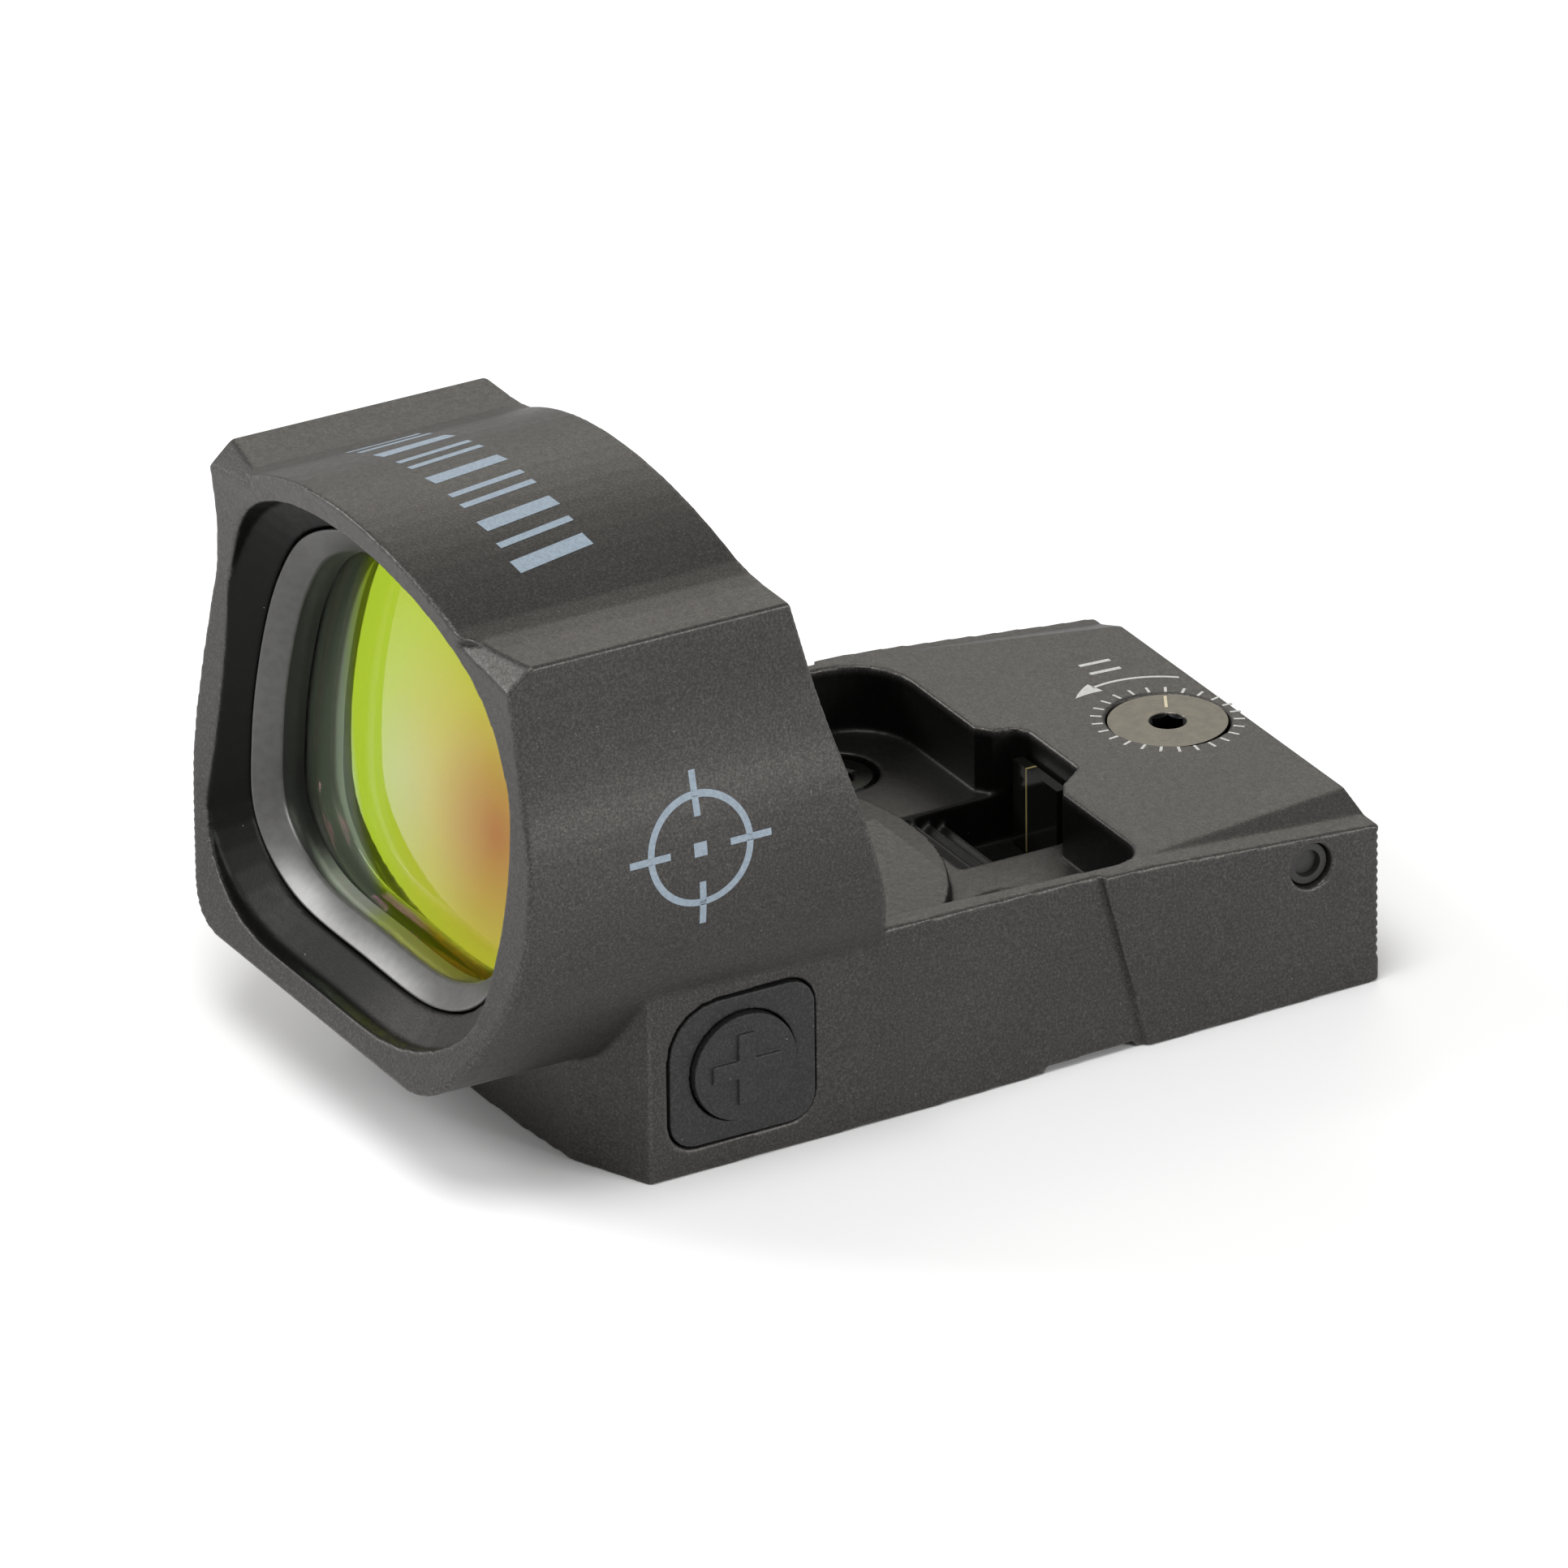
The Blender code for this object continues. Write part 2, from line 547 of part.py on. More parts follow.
# ---- optics -----------------------------------------------------------------------------
def lens_cap(name, centre_w, radius):
    """Ball whose surface crosses the lens axis at a station, used to curve a glass face."""
    bm = bmesh.new()
    bmesh.ops.create_uvsphere(bm, u_segments=48, v_segments=96, radius=radius)
    bmesh.ops.translate(bm, vec=(0, 0, centre_w), verts=bm.verts)
    bmesh.ops.transform(bm, matrix=lens_frame(), verts=bm.verts)
    return mesh_object(name, bm)


def build_lens():
    """Cemented pair: the front glass is hollow behind, the rear glass fills that hollow."""
    edge = inset(MOUTH, LENS_INSET)
    joint = -LENS_THICK * 0.5
    front = lens_prism("front_lens", edge, joint - 1.6, 0.0, GLASS)
    boolean(front, lens_cap("front_lens_hollow", joint - LENS_SURFACE_R, LENS_SURFACE_R))
    rear = lens_prism("rear_lens", edge, -LENS_THICK, joint, GLASS)
    boolean(rear, lens_cap("rear_lens_bulge", joint - GAP - LENS_SURFACE_R, LENS_SURFACE_R),
            'INTERSECT')
    outer, inner = inset(MOUTH, LENS_INSET - GAP), inset(MOUTH, SEAT_INSET)
    lens_loft("lens_adhesive_ring", [(outer, GAP), (outer, RING_OUT_W), (inner, RING_IN_W),
                                     (inner, GAP)], BLACK, closed=True)


def build_emitter():
    box("emitter_window", (-1.75, 12.45, SLOT_FLOOR_Z + GAP), (1.9, 12.95, 7.0), GLASS)
    carriage = box("emitter_carriage", (-3.1, 14.0, 1.95), (3.1, 20.2, 3.95), BRASS)
    boolean(carriage, box("carriage_post", (-1.7, 14.0, 3.5), (1.7, 15.3, 6.05)), 'UNION')
    slot = rounded_box_outline(1.35, 0.95, (0.9,) * 4, (0.0, ELEVATION_Y))
    cut(carriage, prism("carriage_slot", "Z", slot, 1.0, 5.0))
    cut(carriage, box("nut_pocket", (-2.0, ELEVATION_Y - 1.05, 2.45),
                      (2.0, ELEVATION_Y + 1.05, 3.45)))
    cut(carriage, drum("spring_pocket", "Z", (0.0, 16.5), 0.95, 1.0, 3.3, sides=24))
    led = box("led_emitter", (-0.9, 13.62, LED_Z - 0.45), (0.9, 13.95, LED_Z + 0.45), RED_DIE)
    nut = box("elevation_nut", (-1.5, ELEVATION_Y - 0.95, 2.55), (1.5, ELEVATION_Y + 0.95, 3.35),
              BRASS)
    thread_r = SHAFT_R + THREAD_CLEARANCE
    cut(nut, drum("nut_bore", "Z", (0.0, ELEVATION_Y), thread_r, 2.0, 4.0, sides=24))
    frame = box("windage_carriage", (-6.4, 13.9, 1.55), (6.4, 21.05, 4.5), STEEL)
    cut(frame, box("carriage_guide", (-3.2, 13.0, 1.0), (3.2, 20.3, 5.0)))
    cut(frame, drum("windage_thread", "X", (WINDAGE_Y, WINDAGE_Z), thread_r, -7.0, -3.0,
                    sides=24))
    cut(frame, drum("windage_spring_bore", "X", (WINDAGE_Y, WINDAGE_Z), 0.95, 3.9, 7.0,
                    sides=24))
    coil("elevation_spring", (0.0, 16.5, 1.5), (0.0, 16.5, 3.1), 0.65, 0.1, 4, STEEL)
    coil("windage_spring", (4.5, WINDAGE_Y, WINDAGE_Z), (9.6, WINDAGE_Y, WINDAGE_Z), 0.65, 0.1,
         7, STEEL)
    pivot(carriage, (0.0, ELEVATION_Y, LED_Z))
    pivot(led, (0.0, ELEVATION_Y, LED_Z))
    pivot(nut, (0.0, ELEVATION_Y, 2.95))
    pivot(frame, (0.0, WINDAGE_Y, WINDAGE_Z))


# ---- adjustment screws ------------------------------------------------------------------
def hexagon_cut(axis, centre, across, low, high):
    """Hexagonal key socket."""
    name = "key_socket"
    return drum(name, axis, centre, across / math.sqrt(3), low, high, sides=6)


def build_elevation_screw():
    top = deck_z(ELEVATION_Y) - 0.06
    centre = (0.0, ELEVATION_Y)
    screw = drum("elevation_screw", "Z", centre, DISC_R, SKIRT_Z, top, NICKEL, sides=48)
    boolean(screw, drum("elevation_shaft", "Z", centre, SHAFT_R, 1.55, SKIRT_Z + 0.5, sides=24),
            'UNION')
    groove = drum("o_ring_groove", "Z", centre, 3.2, 6.9, 7.4, sides=48)
    boolean(groove, drum("groove_core", "Z", centre, 2.12, 6.0, 8.0, sides=48))
    cut(screw, groove)
    cut(screw, hexagon_cut("Z", centre, 1.3, top - 1.1, top + 1.0))
    cut(screw, drum("socket_chamfer", "Z", centre, 0.55, top - 0.25, top + 0.05, sides=32,
                    tip_radius=0.88))
    clip = drum("elevation_clip", "Z", centre, 1.35, 4.52, 4.7, STEEL, sides=32)
    cut(clip, drum("clip_bore", "Z", centre, SHAFT_R + 0.05, 4.0, 5.0, sides=24))
    cut(clip, box("clip_mouth", (-0.6, ELEVATION_Y - 2.0, 4.0), (0.6, ELEVATION_Y, 5.0)))
    o_ring = ring("elevation_o_ring", "Z", centre, 7.15, 2.38, 0.2, RUBBER)
    for piece in (screw, clip, o_ring):
        pivot(piece, (0.0, ELEVATION_Y, 7.0))
    ball_x = DISC_R + 0.55
    ball = bmesh.new()
    bmesh.ops.create_uvsphere(ball, u_segments=16, v_segments=10, radius=0.4)
    bmesh.ops.translate(ball, vec=(ball_x, ELEVATION_Y, DETENT_Z), verts=ball.verts)
    mesh_object("elevation_detent_ball", ball, STEEL)
    coil("elevation_detent_spring", (ball_x + 0.6, ELEVATION_Y, DETENT_Z),
         (10.6, ELEVATION_Y, DETENT_Z), 0.3, 0.08, 7, STEEL)
    plug = drum("detent_plug", "X", (PLUG_Y, DETENT_Z), 0.92, 11.05, 11.75, ANODISED, sides=32)
    cut(plug, drum("plug_hollow", "X", (PLUG_Y, DETENT_Z), 0.55, 11.45, 12.5, sides=24,
                   tip_radius=0.8))


def build_windage_screw():
    centre = (WINDAGE_Y, WINDAGE_Z)
    screw = drum("windage_screw", "X", centre, 2.0, -11.5, -10.65, NICKEL, sides=48)
    boolean(screw, drum("windage_shaft", "X", centre, SHAFT_R, -10.9, -3.6, sides=24), 'UNION')
    cut(screw, hexagon_cut("X", centre, 1.3, -13.0, -10.8))
    groove = drum("windage_groove", "X", centre, 1.5, -10.35, -9.95, sides=32)
    boolean(groove, drum("windage_groove_core", "X", centre, 0.55, -12.0, -9.0, sides=24))
    cut(screw, groove)
    o_ring = ring("windage_o_ring", "X", centre, -10.15, 0.71, 0.12, RUBBER, around=24)
    clip = drum("windage_clip", "X", centre, 1.35, -9.6, -9.42, STEEL, sides=32)
    cut(clip, drum("windage_clip_bore", "X", centre, SHAFT_R + 0.05, -10.0, -9.0, sides=24))
    cut(clip, box("windage_clip_mouth", (-10.0, WINDAGE_Y - 2.0, WINDAGE_Z - 0.6),
                  (-9.0, WINDAGE_Y, WINDAGE_Z + 0.6)))
    for piece in (screw, o_ring, clip):
        pivot(piece, (-10.5, WINDAGE_Y, WINDAGE_Z))


# ---- electronics, battery and cover -----------------------------------------------------
def build_electronics():
    box("circuit_board", (-9.5, 13.8, 0.8), (9.5, 21.1, 1.25), BOARD)
    box("controller_chip", (6.8, 14.4, 1.3), (9.2, 16.4, 2.2), BLACK)
    cell = drum("battery", "Z", (0.0, BATTERY_Y), BATTERY_R, BATTERY_Z,
                BATTERY_Z + BATTERY_THICK, STEEL, sides=48)
    bevel(cell, 0.3, 1)
    box("battery_contact_positive", (-2.0, 6.3, 1.4), (2.0, 6.6, 4.0), BRASS)
    box("battery_contact_negative", (-4.0, BATTERY_Y - 1.2, 4.05), (4.0, BATTERY_Y + 1.2, 4.2),
        BRASS)
    box("battery_flex", (-1.2, 6.75, 0.85), (1.2, 13.5, 1.0), BOARD)
    ring("battery_seal_ring", "Z", (0.0, BATTERY_Y), 0.98, SEAL_R, 0.17, RUBBER, around=48)


def build_bottom_plate():
    outline = rounded_box_outline(10.8, 17.95, (1.9, 1.9, 3.3, 3.3), (0.0, 3.25))
    plate = prism("bottom_plate", "Z", outline, 0.0, PLATE_THICK, STEEL)
    for x, y in PLATE_SCREWS:
        cut(plate, drum("plate_hole", "Z", (x, y), 1.15, -1.0, 1.0, sides=24))
    for side_sign in (1, -1):
        cut(plate, drum("mount_hole", "Z", (side_sign * MOUNT_SCREW_X, MOUNT_SCREW_Y), 1.6, -1.0,
                        1.0, sides=28))
    for index, (x, y) in enumerate(PLATE_SCREWS, 1):
        screw = drum(f"plate_screw_{index}", "Z", (x, y), 1.05, 0.05, 0.45, STEEL, sides=24)
        boolean(screw, drum("plate_screw_shank", "Z", (x, y), 0.62, 0.3, 2.5, sides=16), 'UNION')
        cut(screw, hexagon_cut("Z", (x, y), 0.7, -1.0, 0.3))


def build_mounting_screws():
    for side_name, side_sign in (("right", 1), ("left", -1)):
        centre = (side_sign * MOUNT_SCREW_X, MOUNT_SCREW_Y)
        screw = drum(f"mounting_screw_{side_name}", "Z", centre, 1.75, 3.4, 5.1, STEEL, sides=30)
        boolean(screw, drum("mounting_shank", "Z", centre, 1.2, 0.2, 3.8, sides=18), 'UNION')
        cut(screw, hexagon_cut("Z", centre, 1.5, 4.1, 6.0))
        bevel(screw, 0.12, 1, 50)


# ---- buttons ----------------------------------------------------------------------------
def build_button(kind, side_sign):
    """Rubber surround, round key with a raised sign, its plunger and the tact switch."""
    def stations(near, far):
        return sorted((side_sign * near, side_sign * far))

    place = (BUTTON_Y, BUTTON_Z)
    outline = rounded_box_outline(PAD_LENGTH / 2, PAD_HEIGHT / 2, (1.2, 2.3, 1.2, 1.2), place)
    pad = prism(f"{kind}_pad", "X", outline, *stations(12.0, PAD_FACE_X), RUBBER)
    cut(pad, drum("key_hole", "X", place, BUTTON_R + GAP, *stations(11.0, 14.0), sides=48))
    key = drum(f"{kind}_button", "X", place, BUTTON_R, *stations(12.15, KEY_FACE_X), RUBBER,
               sides=48)
    bar, reach, lift = 0.4, 1.6, stations(KEY_FACE_X - 0.05, KEY_FACE_X + SIGN_LIFT)
    boolean(key, box("sign_bar", (lift[0], BUTTON_Y - reach, BUTTON_Z - bar),
                     (lift[1], BUTTON_Y + reach, BUTTON_Z + bar)), 'UNION')
    if kind == "plus":
        boolean(key, box("sign_post", (lift[0], BUTTON_Y - bar, BUTTON_Z - reach),
                         (lift[1], BUTTON_Y + bar, BUTTON_Z + reach)), 'UNION')
    plunger = drum(f"{kind}_plunger", "X", place, 0.75, *stations(11.35, 12.05), BLACK, sides=24)
    switch = box(f"{kind}_switch", (stations(10.95, 11.6)[0], BUTTON_Y - 1.7, BUTTON_Z - 1.7),
                 (stations(10.95, 11.6)[1], BUTTON_Y + 1.7, BUTTON_Z + 1.7), STEEL)
    cut(switch, drum("switch_well", "X", place, 0.9, *stations(11.05, 13.0), sides=24))
    for piece in (key, plunger):
        pivot(piece, (side_sign * 12.5, BUTTON_Y, BUTTON_Z))


build_housing()
build_lens()
build_emitter()
build_elevation_screw()
build_windage_screw()
build_electronics()
build_bottom_plate()
build_mounting_screws()
build_button("plus", 1)
build_button("minus", -1)
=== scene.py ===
"""Looks for the open reflex sight: a finer housing skin, coated lens, marks and materials.

Geometry below is written in millimetres in the frame's own axes and scaled to metres at the end.
"""
import json
import math

import bmesh
import bpy
import numpy as np
from mathutils import Matrix, Vector
from mathutils.bvhtree import BVHTree


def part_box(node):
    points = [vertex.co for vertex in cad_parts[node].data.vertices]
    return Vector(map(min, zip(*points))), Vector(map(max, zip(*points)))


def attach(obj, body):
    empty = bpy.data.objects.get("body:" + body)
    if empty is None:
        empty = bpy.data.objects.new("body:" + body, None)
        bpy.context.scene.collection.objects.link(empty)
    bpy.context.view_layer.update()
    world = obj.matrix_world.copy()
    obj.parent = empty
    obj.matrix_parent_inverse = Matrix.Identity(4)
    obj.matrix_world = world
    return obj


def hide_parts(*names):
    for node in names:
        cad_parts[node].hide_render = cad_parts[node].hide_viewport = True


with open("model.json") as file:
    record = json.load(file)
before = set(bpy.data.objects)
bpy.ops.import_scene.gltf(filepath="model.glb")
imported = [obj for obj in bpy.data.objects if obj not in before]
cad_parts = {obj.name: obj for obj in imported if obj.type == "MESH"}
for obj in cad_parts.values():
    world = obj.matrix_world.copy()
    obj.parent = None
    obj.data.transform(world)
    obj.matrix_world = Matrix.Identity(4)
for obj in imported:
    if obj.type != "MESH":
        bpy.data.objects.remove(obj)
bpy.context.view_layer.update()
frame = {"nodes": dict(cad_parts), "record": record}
NODES = frame["nodes"]
MM = 0.001
BODY = "sight_body"
# Point attribute: black dye on the mouth wall, painted shade in the recess.
DYE_AND_SHADE = "black_dye_and_painted_shade"
BEND = "edge_bend"
DUST = (0.16, 0.155, 0.15)


# ---- camera ---------------------------------------------------------------------------
CAMERA_ANGLES = (60.71, 25.92, -0.64)    # azimuth, elevation and roll, in degrees
CAMERA_PLACE = (0.57992, -0.32491, 0.33271)
SENSOR_WIDTH = 36.0
FOCAL_LENGTH = 406.9


def add_camera():
    azimuth, elevation, roll = (math.radians(a) for a in CAMERA_ANGLES)
    back = Vector((math.sin(azimuth) * math.cos(elevation),
                   -math.cos(azimuth) * math.cos(elevation), math.sin(elevation)))
    level = Vector((math.cos(azimuth), math.sin(azimuth), 0.0))
    rise = back.cross(level)
    right = math.cos(roll) * level + math.sin(roll) * rise
    up = math.cos(roll) * rise - math.sin(roll) * level
    data = bpy.data.cameras.new("camera")
    data.sensor_width = SENSOR_WIDTH
    data.lens = FOCAL_LENGTH
    data.clip_start = 0.05
    data.clip_end = 20.0
    camera = bpy.data.objects.new("camera", data)
    place = Matrix((right, up, back)).transposed().to_4x4()
    place.translation = Vector(CAMERA_PLACE)
    camera.matrix_world = place
    bpy.context.scene.collection.objects.link(camera)
    bpy.context.scene.camera = camera


add_camera()


# ---- node helpers ---------------------------------------------------------------------
class Shader:
    """Small builder round one material's node tree."""

    def __init__(self, name, colour, roughness, metallic=0.0, specular=0.5):
        self.material = bpy.data.materials.new(name)
        self.material.use_nodes = True
        self.nodes = self.material.node_tree.nodes
        self.links = self.material.node_tree.links
        self.bsdf = self.nodes["Principled BSDF"]
        self.set(self.bsdf, "Base Color", (*colour, 1.0))
        self.set(self.bsdf, "Roughness", roughness)
        self.set(self.bsdf, "Metallic", metallic)
        self.set(self.bsdf, "Specular IOR Level", specular)
        self.coords = self.nodes.new("ShaderNodeTexCoord").outputs["Object"]

    def set(self, node, socket, value):
        """Links an output socket, or sets a plain value."""
        if isinstance(value, bpy.types.NodeSocket):
            self.links.new(value, node.inputs[socket])
        else:
            node.inputs[socket].default_value = value

    def noise(self, size_mm, detail=2.0, vector=None, roughness=0.5):
        node = self.nodes.new("ShaderNodeTexNoise")
        self.set(node, "Vector", vector or self.coords)
        self.set(node, "Scale", 1.0 / (size_mm * MM))
        self.set(node, "Detail", detail)
        self.set(node, "Roughness", roughness)
        return node.outputs["Fac"]

    def attribute(self, name):
        node = self.nodes.new("ShaderNodeAttribute")
        node.attribute_name = name
        return node.outputs["Fac"]

    def edges(self, colour):
        """Darkens inner corners as painted shade, and brightens outer edges as rubbed wear and
        painted highlight.
        """
        shade = self.ramp(self.attribute(BEND), [(0.0, (0.42,) * 3), (0.42, (1.0,) * 3),
                                                 (0.6, (1.0,) * 3), (1.0, (1.45,) * 3)])
        return self.mix(1.0, colour, shade, 'MULTIPLY')

    def specks(self, spacing_mm, size_mm, share):
        """Mask of rare round dots, such as dust."""
        node = self.nodes.new("ShaderNodeTexVoronoi")
        self.set(node, "Vector", self.coords)
        self.set(node, "Scale", 1.0 / (spacing_mm * MM))
        near = self.math('LESS_THAN', node.outputs["Distance"], size_mm / spacing_mm)
        chosen = self.math('LESS_THAN', node.outputs["Color"], share)
        return self.math('MULTIPLY', near, chosen)

    def math(self, operation, a, b=0.0, c=0.0):
        node = self.nodes.new("ShaderNodeMath")
        node.operation = operation
        for index, value in enumerate((a, b, c)):
            self.set(node, index, value)
        return node.outputs[0]

    def ramp(self, factor, stops, mode='LINEAR'):
        node = self.nodes.new("ShaderNodeValToRGB")
        self.set(node, "Fac", factor)
        node.color_ramp.interpolation = mode
        elements = node.color_ramp.elements
        while len(elements) < len(stops):
            elements.new(0.5)
        for element, (position, value) in zip(elements, stops):
            element.position = position
            element.color = value if len(value) == 4 else (*value, 1.0)
        return node.outputs["Color"]

    def mix(self, factor, a, b, blend='MIX'):
        node = self.nodes.new("ShaderNodeMix")
        node.data_type = 'RGBA'
        node.blend_type = blend
        self.set(node, 0, factor)
        self.set(node, 6, a if isinstance(a, bpy.types.NodeSocket) else (*a, 1.0))
        self.set(node, 7, b if isinstance(b, bpy.types.NodeSocket) else (*b, 1.0))
        return node.outputs[2]

    def bump(self, height, distance_mm, strength=1.0):
        node = self.nodes.new("ShaderNodeBump")
        self.set(node, "Strength", strength)
        self.set(node, "Distance", distance_mm * MM)
        self.set(node, "Height", height)
        if self.bsdf.inputs["Normal"].is_linked:
            self.links.new(self.bsdf.inputs["Normal"].links[0].from_socket, node.inputs["Normal"])
        self.links.new(node.outputs["Normal"], self.bsdf.inputs["Normal"])


def anodised(name, colour, roughness=0.5):
    """Bead-blasted, anodised aluminium: fine pits, sparkling grains, a black-dyed mouth wall and
    painted shade in the recess.
    """
    s = Shader(name, colour, roughness, 0.72)
    dark, light = tuple(c * 0.93 for c in colour), tuple(c * 1.07 for c in colour)
    cloud = s.ramp(s.noise(6.0, 3.0), [(0.3, dark), (0.7, light)])
    grain = s.ramp(s.noise(0.11, 1.0),
                   [(0.34, (0.74,) * 3), (0.52, (1.0,) * 3), (0.74, (1.45,) * 3)])
    toned = s.mix(1.0, cloud, grain, 'MULTIPLY')
    sparkle = s.ramp(s.noise(0.075, 0.0), [(0.70, (0.0,) * 3), (0.80, (1.0,) * 3)])
    bright = tuple(min(1.0, c * 3.2) for c in colour)
    blasted = s.mix(s.math('MULTIPLY', sparkle, 0.45), toned, bright)
    # Painted shade in inner corners, wear and painted highlight on outer edges. Then near-black
    # where the dye-and-shade attribute is high: dyed mouth wall, painted recess shade.
    dyed_and_shaded = s.mix(s.attribute(DYE_AND_SHADE), s.edges(blasted), (0.004, 0.004, 0.0035))
    s.set(s.bsdf, "Base Color", s.mix(s.specks(0.8, 0.03, 0.4), dyed_and_shaded, DUST))
    rough = s.math('MULTIPLY_ADD', s.noise(0.3, 2.0), 0.16, roughness - 0.08)
    s.set(s.bsdf, "Roughness", rough)
    s.bump(s.noise(0.09, 2.0), 0.012, 0.55)
    return s.material


def rubber(name, colour):
    """Moulded rubber with a fine grain and a little dust."""
    s = Shader(name, colour, 0.62, 0.0, 0.4)
    tone = s.ramp(s.noise(0.8, 3.0), [(0.3, tuple(c * 0.9 for c in colour)),
                                      (0.7, tuple(c * 1.1 for c in colour))])
    grain = s.ramp(s.noise(0.1, 1.0), [(0.32, (0.55,) * 3), (0.52, (1.0,) * 3), (0.72, (1.9,) * 3)])
    # Painted shade in inner corners, wear and painted highlight on outer edges.
    toned = s.edges(s.mix(1.0, tone, grain, 'MULTIPLY'))
    s.set(s.bsdf, "Base Color", s.mix(s.specks(0.7, 0.03, 0.4), toned, DUST))
    s.set(s.bsdf, "Roughness", s.math('MULTIPLY_ADD', s.noise(0.25), 0.2, 0.5))
    s.bump(s.noise(0.09, 2.0), 0.02, 0.6)
    return s.material


def satin_metal(name, colour, roughness, centre=None, shade_below_mm=None):
    """Turned metal. With a centre, fine rings follow the lathe tool round it, in plan.
    Below the height given last, such as down a drive socket and its countersink, it is painted
    near-black as shade."""
    s = Shader(name, colour, roughness, 1.0)
    tone = s.ramp(s.noise(0.5, 3.0), [(0.3, tuple(c * 0.86 for c in colour)),
                                      (0.7, tuple(min(1.0, c * 1.12) for c in colour))])
    # Painted shade: near-black below the given height.
    if shade_below_mm is not None:
        axes = s.nodes.new("ShaderNodeSeparateXYZ")
        s.set(axes, 0, s.coords)
        tone = s.mix(s.math('LESS_THAN', axes.outputs[2], shade_below_mm * MM), tone, (0.01, 0.01, 0.01))
    s.set(s.bsdf, "Base Color", tone)
    s.set(s.bsdf, "Roughness", s.math('MULTIPLY_ADD', s.noise(0.12), 0.14, roughness - 0.07))
    if centre is None:
        s.bump(s.noise(0.1, 2.0), 0.003, 0.4)
        return s.material
    offset = s.nodes.new("ShaderNodeVectorMath")
    offset.operation = 'SUBTRACT'
    s.set(offset, 0, s.coords)
    s.set(offset, 1, tuple(c * MM for c in centre))
    wave = s.nodes.new("ShaderNodeTexWave")
    wave.wave_type = 'RINGS'
    wave.rings_direction = 'Z'
    s.set(wave, "Vector", offset.outputs[0])
    s.set(wave, "Scale", 1.0 / (0.9 * MM))
    s.set(wave, "Distortion", 0.4)
    s.bump(wave.outputs["Fac"], 0.004, 0.35)
    return s.material


def plain(name, colour, roughness, metallic=0.0, grain_mm=0.15):
    """Finish with a faint mottle and a light texture at one grain size."""
    s = Shader(name, colour, roughness, metallic)
    tone = s.ramp(s.noise(grain_mm, 2.0), [(0.3, tuple(c * 0.88 for c in colour)),
                                           (0.7, tuple(min(1.0, c * 1.12) for c in colour))])
    s.set(s.bsdf, "Base Color", tone)
    s.bump(s.noise(grain_mm, 2.0), 0.004, 0.3)
    return s.material


HOUSING_MAT = anodised("anodised_warm_grey", (0.047, 0.0445, 0.0415), 0.45)
RUBBER_MAT = rubber("charcoal_rubber", (0.014, 0.0135, 0.0135))
# The dial's drive socket and countersink below 7.87 mm get painted shade.
NICKEL_MAT = satin_metal("turned_nickel", (0.10, 0.092, 0.075), 0.36, (0.0, 19.0, 0.0), 7.87)
STEEL_MAT = satin_metal("satin_steel", (0.48, 0.47, 0.45), 0.30)
BRASS_MAT = satin_metal("brass", (0.62, 0.44, 0.18), 0.32)
BOARD_MAT = plain("solder_mask", (0.02, 0.10, 0.05), 0.35)
BLACK_MAT = plain("black_bead", (0.012, 0.012, 0.013), 0.45)
DIE_MAT = plain("red_die", (0.50, 0.02, 0.015), 0.15)
PRINT_MAT = plain("white_print", (0.42, 0.42, 0.40), 0.6)
MARK_MAT = plain("blue_grey_print", (0.21, 0.26, 0.31), 0.6)
INDEX_MAT = plain("index_print", (0.45, 0.39, 0.26), 0.5)
DARK_MAT = plain("dark_anodising", (0.034, 0.033, 0.032), 0.5, 0.4)
OXIDE_MAT = satin_metal("black_oxide_steel", (0.05, 0.052, 0.047), 0.3)
RING_MAT = plain("satin_ring", (0.085, 0.084, 0.081), 0.3, 0.1, 0.4)


def smoked_window():
    """Dark emitter window, with a painted highlight line where its polished edge would catch the
    light.
    """
    s = Shader("smoked_window", (0.006, 0.006, 0.005), 0.08)
    axes = s.nodes.new("ShaderNodeSeparateXYZ")
    s.set(axes, 0, s.coords)
    off = s.math('ABSOLUTE', s.math('ADD', axes.outputs[0], 0.65 * MM))
    lit = s.math('LESS_THAN', off, 0.06 * MM)
    s.set(s.bsdf, "Base Color", s.mix(lit, (0.006, 0.006, 0.005), (0.20, 0.17, 0.07)))
    return s.material


def paint(node, material):
    """Gives a CAD node its procedural material."""
    mesh = NODES[node].data
    mesh.materials.clear()
    mesh.materials.append(material)


SLOT_MATERIALS = {
    "anodised_aluminium": HOUSING_MAT, "rubber": RUBBER_MAT, "nickel": NICKEL_MAT,
    "steel": STEEL_MAT, "brass": BRASS_MAT, "board": BOARD_MAT, "black_plastic": BLACK_MAT,
    "red_die": DIE_MAT, "window_glass": smoked_window(),
}
for part in frame["record"]["subparts"]:
    chosen = SLOT_MATERIALS.get(part["material_slot"])
    if chosen:
        paint(part["node"], chosen)
paint("detent_plug", DARK_MAT)
paint("bottom_plate", DARK_MAT)
for side in ("left", "right"):
    paint("mounting_screw_" + side, OXIDE_MAT)


